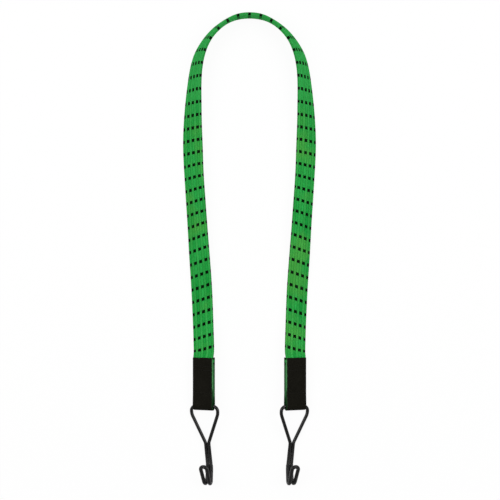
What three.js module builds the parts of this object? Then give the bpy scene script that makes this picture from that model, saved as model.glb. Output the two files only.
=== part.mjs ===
import * as THREE from 'three';

// Flat bungee strap with a double-wire hook sewn into each end, lying on a table in a hairpin curve.
// Millimetres. +Z points up from the table, +Y runs from the hooks to the arch of the strap,
// and X = 0 is the mirror plane between the two legs.

// Woven sleeve and the cut-rubber strands that lie side by side in it
const STRAP_WIDTH = 21.2;
const STRAP_THICKNESS = 3.0;
const STRAND_COUNT = 7;
const SELVEDGE = 1.1;
const RIB_RELIEF = 0.25;
const SLEEVE_WALL = 0.45;
const FULLNESS = 1.0;
const FULL_AFTER = 30;
const STRAND_CLEARANCE = 0.3;
const STRAND_SPACING = 0.5;
const EDGE_FLAT = 1.1;
const EDGE_ROUNDING = 0.6;

// Sewn end: the strap turns back round the crossbar of the hook, black tape wraps both layers
const END_TILT = 22;
const CROSSBAR_X = -45.4;
const CROSSBAR_Y = -155.523;
const LAYER_GAP = 0.3;
const FOLD_CLEARANCE = 0.6;
const FOLD_SQUEEZE = 0.5;
const FOLD_FLARE = 13;
const FOLD_STEPS = 6;
const FLARE_STEPS = 3;
const BACK_LAYER_LENGTH = 45.4;
const TAPE_LENGTH = 47;
const TAPE_THICKNESS = 0.6;
const TAPE_GAP = 0.25;
const TAPE_INSET = 0.3;

// Hook bent from one piece of round wire: a shouldered eye, a double shank that leans to one side,
// a sharp bend and a closed tip. Distances run from the crossbar, depths out towards the tip.
const WIRE_DIAMETER = 3.1;
const WIRE_SIDES = 10;
const WIRE_BUTT_GAP = 0.6;
const EYE_SIDE_CLEARANCE = 1.95;
const EYE_CORNER_RADIUS = 5;
const SHOULDER_DISTANCE = 8.8;
const SHOULDER_RADIUS = 12;
const NECK_DISTANCE = 38;
const NECK_GAP = 0.15;
const NECK_RADIUS = 7;
const SHANK_LEAN = 3;
const SHANK_DISTANCE = 63.3;
const SHANK_GAP = 0.8;
const SHANK_RADIUS = 18;
const BEND_DISTANCE = 84.6;
const BEND_DEPTH = 8.6;
const BEND_GAP = 1.8;
const BEND_RADIUS = 3.4;
const TIP_DISTANCE = 58.5;
const TIP_DEPTH = 15.3;
const TIP_GAP = 3.6;
const TIP_ROUNDING = 0.46;
const SIDE_SHIFT = -0.35;
const BEND_STEP = 18;
const SWING_LIMIT = 0.3;
const SWING_HALVINGS = 40;
const SHORTEST_STEP = 0.01;

// Route of the strap from the left tab to the middle of the arch, the right half is its mirror image.
// Each point is x, y, twist out of the flat in degrees, and lift off the table.
const ROUTE = [
  [-45.4, -97.6, 17.5, 3.9],
  [-45.8, -83.6, 16.5, 1.6],
  [-46.5, -65.6, 16, 0.2],
  [-47.8, -37.6, 15, 0],
  [-49.7, -9.6, 17, 0],
  [-51.7, 20.4, 21, 0],
  [-53.6, 48.4, 22, 0],
  [-55.4, 76.4, 22, 0],
  [-56.4, 102.4, 22, 0],
  [-56.5, 122.4, 29, 0],
  [-55.8, 144.4, 42, 0],
  [-54.7, 163.4, 52, 0],
  [-52.9, 179.4, 58, 0],
  [-49.9, 191.9, 63, 0],
  [-45.7, 201.7, 68, 0],
  [-40.7, 209.8, 72.5, 0],
  [-33.8, 217.6, 76.5, 0],
  [-23.65, 225.3, 83, 0],
  [-12.25, 230.3, 89, 0],
  [0, 232.1, 90, 0],
];
const ROUTE_STATIONS = 28;

const degrees = THREE.MathUtils.degToRad;
const UP = new THREE.Vector3(0, 0, 1);
const mirror = new THREE.Vector3(-1, 1, 1);

// One closed solid from matching rings of points, with an optional hole running the whole length
function solidFromRings(rings, holeRings, profile, holeProfile) {
  const positions = [];
  const triangles = [];
  const count = rings.length;
  const outerSize = profile.length;
  const holeSize = holeProfile.length;
  rings.forEach((ring) => ring.forEach((p) => positions.push(p.x, p.y, p.z)));
  holeRings.forEach((ring) => ring.forEach((p) => positions.push(p.x, p.y, p.z)));
  const holeStart = count * outerSize;
  const skin = (start, size, inside) => {
    for (let i = 0; i < count - 1; i += 1) {
      for (let j = 0; j < size; j += 1) {
        const a = start + i * size + j;
        const b = start + i * size + ((j + 1) % size);
        const c = a + size;
        const d = b + size;
        if (inside) triangles.push([a, c, b], [b, c, d]);
        else triangles.push([a, b, c], [b, d, c]);
      }
    }
  };
  skin(0, outerSize, false);
  if (holeSize) skin(holeStart, holeSize, true);
  const flat = (points) => points.map(([a, b]) => new THREE.Vector2(a, b));
  const cap = THREE.ShapeUtils.triangulateShape(flat(profile), holeSize ? [flat(holeProfile)] : []);
  const capIndex = (k, station) => {
    if (k < outerSize) return station * outerSize + k;
    return holeStart + station * holeSize + (k - outerSize);
  };
  cap.forEach(([a, b, c]) => {
    triangles.push([capIndex(a, 0), capIndex(c, 0), capIndex(b, 0)]);
    triangles.push([capIndex(a, count - 1), capIndex(b, count - 1), capIndex(c, count - 1)]);
  });
  const geometry = new THREE.BufferGeometry();
  geometry.setAttribute('position', new THREE.Float32BufferAttribute(positions, 3));
  geometry.setIndex(triangles.flat());
  return faceOutwards(geometry);
}

function signedVolume(geometry) {
  const p = geometry.getAttribute('position');
  const index = geometry.getIndex().array;
  const [a, b, c] = [new THREE.Vector3(), new THREE.Vector3(), new THREE.Vector3()];
  let volume = 0;
  for (let i = 0; i < index.length; i += 3) {
    a.fromBufferAttribute(p, index[i]);
    b.fromBufferAttribute(p, index[i + 1]);
    c.fromBufferAttribute(p, index[i + 2]);
    volume += a.dot(b.cross(c)) / 6;
  }
  return volume;
}

function faceOutwards(geometry) {
  if (signedVolume(geometry) < 0) {
    const index = geometry.getIndex().array;
    for (let i = 0; i < index.length; i += 3) {
      [index[i + 1], index[i + 2]] = [index[i + 2], index[i + 1]];
    }
  }
  geometry.computeVertexNormals();
  return geometry;
}

function mirrored(geometry) {
  const copy = geometry.clone();
  copy.scale(-1, 1, 1);
  return faceOutwards(copy);
}

// A station of a band: its middle, its directions across and through, and how flat or full it is there
function station(at, across, through, squeeze = 1, fullness = 0) {
  return { at, across, through, squeeze, fullness };
}

// The free strap is fuller in the middle than at its edges
function depthAt([a, b], squeeze, fullness) {
  const share = 1 - (2 * a / STRAP_WIDTH) ** 2;
  return b * squeeze + Math.sign(b) * FULLNESS * fullness * share;
}

function ringAt(s, profile) {
  return profile.map((point) => s.at.clone()
    .addScaledVector(s.across, point[0])
    .addScaledVector(s.through, depthAt(point, s.squeeze, s.fullness)));
}

function band(stations, profile, holeProfile = []) {
  const rings = stations.map((s) => ringAt(s, profile));
  const holeRings = stations.map((s) => ringAt(s, holeProfile));
  return solidFromRings(rings, holeRings, profile, holeProfile);
}

// Sections, as pairs of a distance across and a distance through the thickness
const ribPitch = (STRAP_WIDTH - 2 * SELVEDGE) / STRAND_COUNT;
const crest = STRAP_THICKNESS / 2;
const valley = crest - RIB_RELIEF;
const cavityHalfHeight = valley - SLEEVE_WALL;
const cavityHalfWidth = STRAP_WIDTH / 2 - SELVEDGE;
const strandHalfHeight = cavityHalfHeight - STRAND_CLEARANCE;
const strandHalfWidth = (ribPitch - STRAND_SPACING) / 2;

function ribbedProfile() {
  const half = STRAP_WIDTH / 2;
  const face = [[-half, EDGE_FLAT / 2], [-half + EDGE_ROUNDING, valley]];
  for (let rib = 0; rib < STRAND_COUNT; rib += 1) {
    const middle = (rib - (STRAND_COUNT - 1) / 2) * ribPitch;
    if (rib > 0) face.push([middle - ribPitch / 2, valley]);
    face.push([middle, crest]);
  }
  face.push([half - EDGE_ROUNDING, valley], [half, EDGE_FLAT / 2]);
  const under = face.map(([a, b]) => [-a, -b]);
  return [...under, ...face].reverse();
}

function boxProfile(halfWidth, halfHeight, middle = 0) {
  return [
    [middle - halfWidth, -halfHeight],
    [middle + halfWidth, -halfHeight],
    [middle + halfWidth, halfHeight],
    [middle - halfWidth, halfHeight],
  ];
}

// One flat cavity, with a point between every two strands so that its walls twist as the strands do
function cavitySection() {
  const floor = [];
  for (let i = 0; i <= STRAND_COUNT; i += 1) {
    floor.push([(i / STRAND_COUNT - 0.5) * 2 * cavityHalfWidth, -cavityHalfHeight]);
  }
  const ceiling = floor.map(([a, b]) => [-a, -b]);
  return [...floor, ...ceiling];
}

const strapProfile = ribbedProfile();
const cavityProfile = cavitySection();

// Height of the middle of the strap when it lies on the table with this twist
function restHeight(twist, fullness) {
  const sine = Math.sin(degrees(twist));
  const cosine = Math.cos(degrees(twist));
  const heights = strapProfile.map((point) => point[0] * sine + depthAt(point, 1, fullness) * cosine);
  return -Math.min(...heights);
}

// Left sewn end, with its axes along the strap, across to the raised inner edge, and out of the face
const tilt = degrees(END_TILT);
const along = new THREE.Vector3(0, 1, 0);
const across = new THREE.Vector3(Math.cos(tilt), 0, Math.sin(tilt));
const outward = new THREE.Vector3(-Math.sin(tilt), 0, Math.cos(tilt));

const foldThickness = STRAP_THICKNESS * FOLD_SQUEEZE;
const foldRadius = WIRE_DIAMETER / 2 + FOLD_CLEARANCE + foldThickness / 2;
const layerOffset = (STRAP_THICKNESS + LAYER_GAP) / 2;
const tapeHalfWidth = STRAP_WIDTH / 2 - TAPE_INSET;
const tapeOffsetAtFold = foldThickness / 2 + TAPE_GAP + TAPE_THICKNESS / 2;
const tapeOffsetAtLayers = STRAP_THICKNESS / 2 + TAPE_GAP + TAPE_THICKNESS / 2;
const tapeOuterRadius = foldRadius + tapeOffsetAtFold + TAPE_THICKNESS / 2;
const crossbarHeight = tapeHalfWidth * Math.sin(tilt) + tapeOuterRadius * Math.cos(tilt);
const crossbarMiddle = new THREE.Vector3(CROSSBAR_X, CROSSBAR_Y, crossbarHeight);

const endPoint = (v, n) => crossbarMiddle.clone()
  .addScaledVector(along, v)
  .addScaledVector(outward, n);
const smooth = (x) => x * x * (3 - 2 * x);

// Stations of a layer that turns round the crossbar, from the end of its back to the top of its front
function foldStations(offsetAtFold, offsetAtLayers, backLength, frontLength, squeezeAtFold) {
  const list = [];
  const leg = (side, v) => {
    const share = smooth(Math.min(v / FOLD_FLARE, 1));
    const n = THREE.MathUtils.lerp(offsetAtFold, offsetAtLayers, share);
    const squeeze = THREE.MathUtils.lerp(squeezeAtFold, 1, share);
    return station(endPoint(v, side * n), across, outward.clone().multiplyScalar(side), squeeze);
  };
  list.push(leg(-1, backLength));
  for (let i = FLARE_STEPS; i >= 0; i -= 1) list.push(leg(-1, (FOLD_FLARE * i) / FLARE_STEPS));
  for (let i = 1; i < FOLD_STEPS; i += 1) {
    const angle = Math.PI * (i / FOLD_STEPS);
    const through = along.clone()
      .multiplyScalar(-Math.sin(angle))
      .addScaledVector(outward, -Math.cos(angle));
    const at = crossbarMiddle.clone().addScaledVector(through, offsetAtFold);
    list.push(station(at, across, through, squeezeAtFold));
  }
  for (let i = 0; i <= FLARE_STEPS; i += 1) list.push(leg(1, (FOLD_FLARE * i) / FLARE_STEPS));
  list.push(leg(1, frontLength));
  return list;
}

// Stations of the free strap from the top of the left tab to the middle of the arch
function routeStations() {
  const top = endPoint(TAPE_LENGTH, layerOffset);
  const topLift = top.z - restHeight(END_TILT, 0);
  const approach = endPoint(FOLD_FLARE, layerOffset).setZ(topLift);
  const points = [approach, top.setZ(topLift)];
  const twists = [END_TILT, END_TILT];
  ROUTE.forEach(([x, y, twist, lift]) => {
    points.push(new THREE.Vector3(x, y, lift));
    twists.push(twist);
  });
  points.push(points[points.length - 2].clone().multiply(mirror));
  twists.push(twists[twists.length - 2]);
  const path = new THREE.CatmullRomCurve3(points);
  const twisting = new THREE.CatmullRomCurve3(twists.map((twist) => new THREE.Vector3(twist, 0, 0)));
  const segments = points.length - 1;
  const list = [];
  for (let i = 1; i <= ROUTE_STATIONS; i += 1) {
    const u = (1 + ((segments - 2) * i) / ROUTE_STATIONS) / segments;
    const at = path.getPoint(u);
    const twist = twisting.getPoint(u).x;
    const fullness = smooth(Math.min((at.y - top.y) / FULL_AFTER, 1));
    at.setZ(Math.max(0, at.z) + restHeight(twist, fullness));
    const inner = path.getTangent(u).setZ(0).normalize().cross(UP);
    const angle = degrees(twist);
    const acrossHere = inner.clone().multiplyScalar(Math.cos(angle)).addScaledVector(UP, Math.sin(angle));
    const throughHere = inner.multiplyScalar(-Math.sin(angle)).addScaledVector(UP, Math.cos(angle));
    list.push(station(at, acrossHere, throughHere, 1, fullness));
  }
  return list;
}

const mirrorStation = (s) => station(
  s.at.clone().multiply(mirror),
  s.across.clone().multiply(mirror),
  s.through.clone().multiply(mirror),
  s.squeeze,
  s.fullness,
);

const leftHalf = [
  ...foldStations(foldRadius, layerOffset, BACK_LAYER_LENGTH, TAPE_LENGTH, FOLD_SQUEEZE),
  ...routeStations(),
];
const strapStations = [...leftHalf, ...leftHalf.slice(0, -1).reverse().map(mirrorStation)];

// Tape of the tab, outside both layers of the strap
const tapeStations = foldStations(
  foldRadius + tapeOffsetAtFold,
  layerOffset + tapeOffsetAtLayers,
  TAPE_LENGTH,
  TAPE_LENGTH,
  1,
);
const tapeProfile = boxProfile(tapeHalfWidth, TAPE_THICKNESS / 2);

// Wire of the hook in its own axes: across the eye, away from the crossbar, and out towards the tip
function roundedPath(corners) {
  const list = [corners[0].at];
  for (let i = 1; i < corners.length - 1; i += 1) {
    const { at, radius } = corners[i];
    const before = corners[i - 1].at.clone().sub(at).normalize();
    const after = corners[i + 1].at.clone().sub(at).normalize();
    const half = before.angleTo(after) / 2;
    const setback = radius / Math.tan(half);
    const bisector = before.clone().add(after).normalize();
    const centre = at.clone().addScaledVector(bisector, radius / Math.sin(half));
    const start = at.clone().addScaledVector(before, setback).sub(centre);
    const axis = start.clone().cross(at.clone().addScaledVector(after, setback).sub(centre)).normalize();
    const sweep = Math.PI - 2 * half;
    const steps = Math.max(2, Math.round(sweep / degrees(BEND_STEP)));
    for (let k = 0; k <= steps; k += 1) {
      list.push(start.clone().applyAxisAngle(axis, (sweep * k) / steps).add(centre));
    }
  }
  list.push(corners[corners.length - 1].at);
  return list.filter((p, i) => i === 0 || p.distanceTo(list[i - 1]) > SHORTEST_STEP);
}

function hookPath() {
  const corner = (w, d, n, radius) => ({ at: new THREE.Vector3(w, d, n), radius });
  const apart = (gap) => (WIRE_DIAMETER + gap) / 2;
  const eyeHalf = (STRAP_WIDTH + WIRE_DIAMETER) / 2 + EYE_SIDE_CLEARANCE;
  const half = [
    corner(WIRE_BUTT_GAP / 2, 0, 0, 0),
    corner(eyeHalf, 0, 0, EYE_CORNER_RADIUS),
    corner(eyeHalf, SHOULDER_DISTANCE, 0, SHOULDER_RADIUS),
    corner(apart(NECK_GAP), NECK_DISTANCE, 0, NECK_RADIUS),
    corner(apart(SHANK_GAP), SHANK_DISTANCE, 0, SHANK_RADIUS),
    corner(apart(BEND_GAP), BEND_DISTANCE, BEND_DEPTH, BEND_RADIUS),
    corner(apart(TIP_GAP), TIP_DISTANCE, TIP_DEPTH, 2 * apart(TIP_GAP) * TIP_ROUNDING),
  ];
  const other = half.map((c) => corner(-c.at.x, c.at.y, c.at.z, c.radius)).reverse();
  const corners = [...half, ...other];
  corners.forEach((c) => {
    c.at.x += SIDE_SHIFT + c.at.y * Math.tan(degrees(SHANK_LEAN));
  });
  return roundedPath(corners);
}

// The hook swings down from the crossbar until its wire meets the table
const away = along.clone().multiplyScalar(-1);

function placedHook(path, swing) {
  const down = away.clone().multiplyScalar(Math.cos(swing)).addScaledVector(outward, -Math.sin(swing));
  const out = outward.clone().multiplyScalar(Math.cos(swing)).addScaledVector(away, Math.sin(swing));
  return path.map((p) => crossbarMiddle.clone()
    .addScaledVector(across, p.x)
    .addScaledVector(down, p.y)
    .addScaledVector(out, p.z));
}

function restingSwing(path) {
  let [high, low] = [-SWING_LIMIT, SWING_LIMIT];
  for (let i = 0; i < SWING_HALVINGS; i += 1) {
    const middle = (high + low) / 2;
    const lowest = Math.min(...placedHook(path, middle).map((p) => p.z)) - WIRE_DIAMETER / 2;
    if (lowest > 0) high = middle;
    else low = middle;
  }
  return high;
}

function wire(path, firstNormal) {
  const profile = [];
  for (let k = 0; k < WIRE_SIDES; k += 1) {
    const angle = (2 * Math.PI * (k + 0.5)) / WIRE_SIDES;
    profile.push([Math.cos(angle) * WIRE_DIAMETER / 2, Math.sin(angle) * WIRE_DIAMETER / 2]);
  }
  let normal = firstNormal.clone();
  const stations = path.map((at, i) => {
    const before = path[Math.max(i - 1, 0)];
    const after = path[Math.min(i + 1, path.length - 1)];
    const tangentIn = i > 0 ? at.clone().sub(before).normalize() : after.clone().sub(at).normalize();
    const tangentOut = i < path.length - 1 ? after.clone().sub(at).normalize() : tangentIn;
    const tangent = tangentIn.clone().add(tangentOut).normalize();
    normal = normal.clone().addScaledVector(tangent, -normal.dot(tangent)).normalize();
    return station(at, normal.clone(), tangent.clone().cross(normal));
  });
  return band(stations, profile);
}

const wirePath = hookPath();
const leftWirePath = placedHook(wirePath, restingSwing(wirePath));

const strapGreen = 0x249f42;
const rubber = 0xd9cfae;
const tapeBlack = 0x1a1814;
const wireBlack = 0x202020;

const group = new THREE.Group();
group.name = 'bungee_strap';

function add(name, geometry, color, roughness, metalness = 0) {
  const material = new THREE.MeshStandardMaterial({ color, roughness, metalness });
  const mesh = new THREE.Mesh(geometry, material);
  mesh.name = name;
  group.add(mesh);
}

add('strap_sleeve', band(strapStations, strapProfile, cavityProfile), strapGreen, 0.8);
for (let i = 0; i < STRAND_COUNT; i += 1) {
  const middle = (i - (STRAND_COUNT - 1) / 2) * ribPitch;
  const profile = boxProfile(strandHalfWidth, strandHalfHeight, middle);
  add(`rubber_strand_${i + 1}`, band(strapStations, profile), rubber, 0.7);
}
const leftTape = band(tapeStations, tapeProfile);
add('left_tab_tape', leftTape, tapeBlack, 0.9);
add('right_tab_tape', mirrored(leftTape), tapeBlack, 0.9);
const leftHook = wire(leftWirePath, outward);
add('left_hook_wire', leftHook, wireBlack, 0.35, 0.6);
add('right_hook_wire', mirrored(leftHook), wireBlack, 0.35, 0.6);

export default group;
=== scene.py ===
from math import atan, cos, pi, radians, sin, tan

import bmesh
import bpy
import numpy as np
from mathutils import Matrix, Vector


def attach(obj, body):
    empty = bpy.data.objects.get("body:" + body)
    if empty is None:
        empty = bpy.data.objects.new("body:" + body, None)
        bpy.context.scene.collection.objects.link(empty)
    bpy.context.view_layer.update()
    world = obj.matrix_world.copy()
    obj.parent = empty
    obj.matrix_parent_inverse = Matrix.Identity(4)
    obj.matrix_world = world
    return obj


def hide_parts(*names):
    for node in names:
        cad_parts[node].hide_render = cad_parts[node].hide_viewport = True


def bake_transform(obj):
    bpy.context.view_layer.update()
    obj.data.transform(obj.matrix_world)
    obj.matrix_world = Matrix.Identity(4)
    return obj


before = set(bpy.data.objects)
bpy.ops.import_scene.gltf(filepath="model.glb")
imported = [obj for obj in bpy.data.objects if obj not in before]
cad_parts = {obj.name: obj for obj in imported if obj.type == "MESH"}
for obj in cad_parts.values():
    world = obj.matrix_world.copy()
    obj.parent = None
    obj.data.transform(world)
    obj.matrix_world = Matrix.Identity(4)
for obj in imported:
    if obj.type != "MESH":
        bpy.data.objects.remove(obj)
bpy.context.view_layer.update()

# Flat bungee strap. Lengths are in metres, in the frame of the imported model, unless a comment says millimetres
MILLIMETRES = 1000

# Woven sleeve: a flat ribbed tube, swollen by each pick of the weave, and fuller above the tab
STRAP_WIDTH = 0.0212
STRAP_THICKNESS = 0.0030
FULLNESS = 0.0010
FULL_AFTER = 0.030
RIBS = 6
SELVEDGE = 0.00246
SELVEDGE_ROUND = 0.0013
RIB_PITCH = (STRAP_WIDTH - 2 * SELVEDGE) / RIBS
RIB_ROUNDNESS = 2.2
CREST = STRAP_THICKNESS / 2
VALLEY = 0.00117
RIB_POINTS = 6
RISE_POINTS = 4
SELVEDGE_POINTS = 7
PICK = 0.0010
KNUCKLE = 0.00006
FINE_STEP = 0.00025

# Cavity of the sleeve and the rubber strands in it, with fewer points than the outside
CAVITY_HALF_HEIGHT = 0.0008
CAVITY_SHARE = CAVITY_HALF_HEIGHT / VALLEY
CAVITY_HALF_WIDTH = 0.0095
CAVITY_EVERY = 4
STRANDS = 7
STRAND_PITCH = 2 * CAVITY_HALF_WIDTH / STRANDS
STRAND_HALF_WIDTH = 0.0011071
STRAND_HALF_HEIGHT = 0.0005
STRAND_CORNER = 0.0002
STRAND_EVERY = 4

# Sewn end, tilted on the table and folded round the crossbar of the hook
END_TILT = radians(22)
CROSSBAR = Vector((-0.0454, -0.155523, 0.0080308))
ALONG = Vector((0, 1, 0))
ACROSS = Vector((cos(END_TILT), 0, sin(END_TILT)))
OUTWARD = Vector((-sin(END_TILT), 0, cos(END_TILT)))
FOLD_RADIUS = 0.0033
FOLD_SLACK = 0.0005
FOLD_SQUEEZE = 0.4
FOLD_FLARE = 0.013
LAYER_OFFSET = 0.00165
BACK_LAYER = 0.0454

# Tape of the tab, thinner and looped at its edges
TAPE_LENGTH = 0.0475
TAPE_HALF_WIDTH = 0.0103
TAPE_THICKNESS = 0.0006
TAPE_OVER_FOLD = 0.0009
TAPE_OVER_LAYERS = 0.00205
TAPE_AT_FOLD = FOLD_RADIUS + TAPE_OVER_FOLD
TAPE_AT_LAYERS = LAYER_OFFSET + TAPE_OVER_LAYERS
TAPE_POINTS = 34
TAPE_STEP = 0.0007
TAPE_EDGE = 0.0006
TAPE_EDGE_THINNING = 0.5
TAPE_EDGE_LOOP = 0.00005

# Sewing: rows across the tab by their distance from the crossbar, one row down each side, and the drawn-in tape
STITCH_ROWS = [0.0126, 0.0354, 0.0392]
STITCH_SIDE = 0.0086
STITCH_LENGTH = 0.0026
STITCH_PITCH = 0.0029
STITCH_RISE = 0.00035
STITCH_LIFT = -0.00005
STITCH_STEPS = 6
THREAD_RADIUS = 0.00026
THREAD_SIDES = 6
PUCKER_WIDTH = 0.0009
PUCKER_DEPTH = 0.00018

# Hook bent from one piece of wire. Each corner of its half: across, away from the crossbar, out, bend radius,
# and how far the corner and its twin stand to one side
WIRE_RADIUS = 0.0017
WIRE_SIDES = 24
BEND_STEP = radians(5)
SHARP_EDGE = radians(45)
SHORTEST_RUN = 1e-6
HOOK_SWING = radians(6.69)
HALF_BUTT_GAP = 0.0003
CROSSBAR_SAG = 0.0009
SHOULDER_SHIFT = 0.00045
SHOULDER_SLOPE = 0.02
SHOULDER_END = 0.0088
HOOK_HALF = [
    (HALF_BUTT_GAP, CROSSBAR_SAG, 0, 0, SHOULDER_SHIFT),
    (0.01420, CROSSBAR_SAG, 0, 0.0050, SHOULDER_SHIFT),
    (0.01420, SHOULDER_END, 0, 0.0120, SHOULDER_SHIFT),
    (0.00174, 0.0380, 0, 0.0070, 0.00164),
    (0.00189, 0.0633, 0, 0.0180, 0.00305),
    (0.00240, 0.0845, 0.0086, 0.0034, 0.00450),
    (0.00340, 0.0587, 0.0153, 0.0031, 0.00298),
]

# Scuffed inside of the bend: which corner, how far past its arc, and where the scuffing fades in
SCUFFED_BEND = 5
SCUFF_PAST_ARC = 0.0002
SCUFF_BEFORE = 0.003
SCUFF_FADE = 0.004

# Coating of the dipped tip: where its edge crosses the shank, how the edge leans, its thickness and its lip
DIP_EDGE = Vector((0, 0.0600, 0))
DIP_LEAN = radians(18)
DIP_INTO = Vector((0, cos(DIP_LEAN), sin(DIP_LEAN)))
DIP_THICKNESS = 0.00017
DIP_LIP = 0.0005

# Route of the left half from the tab to the middle of the arch: x, y, twist in degrees, lift
ROUTE = [
    (-0.04545, -0.1035, 17, 0.0045),
    (-0.04535, -0.0976, 14.5, 0.0043),
    (-0.04580, -0.0836, 15, 0.0019),
    (-0.04650, -0.0656, 13, 0.0002),
    (-0.04780, -0.0376, 10, 0),
    (-0.04970, -0.0096, 13, 0),
    (-0.05170, 0.0204, 21, 0),
    (-0.05360, 0.0484, 23, 0),
    (-0.05540, 0.0764, 24, 0),
    (-0.05640, 0.1024, 22.5, 0),
    (-0.05650, 0.1224, 31, 0),
    (-0.05580, 0.1444, 42, 0),
    (-0.05470, 0.1634, 52, 0),
    (-0.05290, 0.1794, 58, 0),
    (-0.04990, 0.1919, 63, 0),
    (-0.04570, 0.2017, 69, 0),
    (-0.04070, 0.2098, 73.5, 0),
    (-0.03380, 0.2176, 76.5, 0),
    (-0.02365, 0.2253, 83, 0),
    (-0.01225, 0.2303, 89, 0),
    (0, 0.2318, 90, 0),
]

# Black dots woven into every second rib and round the inner rim, in millimetres along and across the strap.
# Rows are counted from the middle of the arch, and placed where they cross one rib, from which they lean
DOT_ROWS = [0, 2, 4, 6, 8, 12, 16, 20, 24, 28, 38]
DOT_ROWS_AT = [0, 23.2, 48.5, 75.7, 102.0, 152.1, 200.3, 247.5, 297.2, 346.8, 470.8]
DOT_ROW_PITCH = 12.4
DOT_LENGTH = 3.2
DOT_END_BLUR = 0.1
DOT_WIDTH_IN_RIBS = 1.15
DOT_SIDE_BLUR_IN_RIBS = 0.04
RIM_DOT_LENGTH = 2.8
RIM_DOTS_FROM = 9.8
RIM_DOTS_LOST_IN_TAB = 0.85
LEAN_FROM_RIB = 6.8
LEAN_HIGH = 0.15
LEAN_LOW = 0.28
LEAN_GROWS = (170, 260)
NO_LEAN_IN_ARCH = 50

# Changes of the green, in millimetres: along the strap from the middle of the arch, and across it for the rims.
# Painted light makes it brighter at the arch, it is yellowed down the legs and paler on the rims in the tab, and
# painted shade darkens the rims and the strap at the fold
PAINTED_LIGHT_THEN_YELLOWED_ALONG = (80, 170)
RIM_ACROSS = (9.4, 10.5)
FOLD_MIDDLE = 420
SEWN_LENGTH = 51
SEWN_FADE = 4
FOLD_SHADED = 19
SHADE_FADE = 4

# Yarns of the weave: how round and how high they stand, how fine their fibres are
YARNS_IN_RIB = 4
YARN_ROUND = 0.45
WARP_HEIGHT = 0.55
WEFT_HEIGHT = 0.35
FIBRES_ACROSS_YARN = 5.0
FIBRES_ALONG_YARN = 0.7
TONE_STEP_TO_NEXT_RIB = 3.7
TONE_ALONG_RIB = 0.018
TAPE_PALE_EDGE = 0.0007

# Table and light
WHITE = (1, 1, 1, 1)
TABLE_SIZE = 6
TABLE_COLOUR = (0.9, 0.9, 0.9, 1)
TABLE_GLOW = 0.94
BACKDROP_TOP = (0.3, 0.5)
ROOM_LIGHT = 0.42
LAMP_SIZE = 0.8
SIDE_LAMP_POWER = 8.3
BACK_LAMP_POWER = 3.6


# Camera straight above the table, as far away as in the photograph

camera = bpy.data.objects.new("camera", bpy.data.cameras.new("camera"))
camera.location = (0.0005, -0.0011, 1.5)
camera.data.lens = 108
camera.data.sensor_width = 36
bpy.context.collection.objects.link(camera)
bpy.context.scene.camera = camera


# Shapes of the strap

def smooth(x):
    """A smooth step from nought to one."""
    x = np.clip(x, 0, 1)
    return x * x * (3 - 2 * x)


def spline_through(knots, values, wanted):
    """A natural cubic spline through the values at the knots."""
    step = np.diff(knots)
    count = len(knots)
    system = np.eye(count)
    change = np.zeros(values.shape)
    for i in range(1, count - 1):
        system[i, i - 1:i + 2] = step[i - 1], 2 * (step[i - 1] + step[i]), step[i]
        change[i] = (values[i + 1] - values[i]) / step[i] - (values[i] - values[i - 1]) / step[i - 1]
    bend = np.linalg.solve(system, change)
    i = np.clip(np.searchsorted(knots, wanted, side="right") - 1, 0, count - 2)
    width = step[i][:, None]
    after = (wanted - knots[i])[:, None] / width
    before = 1 - after
    straight = before * values[i] + after * values[i + 1]
    return straight + width ** 2 * ((before ** 3 - before) * bend[i] + (after ** 3 - after) * bend[i + 1])


def woven_section():
    """Outline of the sleeve: across, through, and how far a pick of the weave swells it each way."""
    face = []
    for rib in range(RIBS):
        for j in range(RIB_POINTS):
            t = j / RIB_POINTS - 0.5
            round_rib = 1 - (2 * abs(t)) ** RIB_ROUNDNESS
            across = (rib - RIBS / 2 + 0.5 + t) * RIB_PITCH
            swell = KNUCKLE * round_rib * (1 if rib % 2 else -1)
            face.append((across, VALLEY + (CREST - VALLEY) * round_rib, 0, swell))
    last_valley = STRAP_WIDTH / 2 - SELVEDGE
    last_crest = STRAP_WIDTH / 2 - SELVEDGE_ROUND
    rise = []
    for k in range(1, RISE_POINTS):
        t = k / RISE_POINTS
        height = VALLEY + (CREST - VALLEY) * (1 - (1 - t) ** RIB_ROUNDNESS)
        rise.append((last_valley + (last_crest - last_valley) * t, height, 0, 0))
    face += [(last_valley, VALLEY, 0, 0), *rise]
    for k in range(SELVEDGE_POINTS):
        angle = pi / 2 - pi * k / (SELVEDGE_POINTS - 1)
        face.append((last_crest + SELVEDGE_ROUND * cos(angle), CREST * sin(angle), KNUCKLE * cos(angle), 0))
    face += [(across, -height, 0, 0) for across, height, *_ in reversed(rise)]
    face = np.array(face)
    return np.concatenate([face, -face])


SLEEVE_ACROSS, SLEEVE_THROUGH, SWELL_ACROSS, SWELL_THROUGH = woven_section().T


def fuller(across):
    """How much fuller the free strap is than the sewn one, most in the middle and not at the edges."""
    return FULLNESS * (1 - (2 * across / STRAP_WIDTH) ** 2)


def rest_height(twist):
    """Height of the middle of the strap where it lies on the table with this twist."""
    half_across = np.abs(SLEEVE_ACROSS) + SWELL_ACROSS.max()
    half_through = np.abs(SLEEVE_THROUGH) + np.abs(SWELL_THROUGH) + fuller(SLEEVE_ACROSS)
    reach = np.outer(np.sin(twist), half_across) + np.outer(np.cos(twist), half_through)
    return reach.max(axis=1)


def end_place(v, n):
    """Places of the sewn end: v from the crossbar towards the arch, n out of the face."""
    return np.array(CROSSBAR) + np.outer(v, ALONG) + np.outer(n, OUTWARD)


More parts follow.
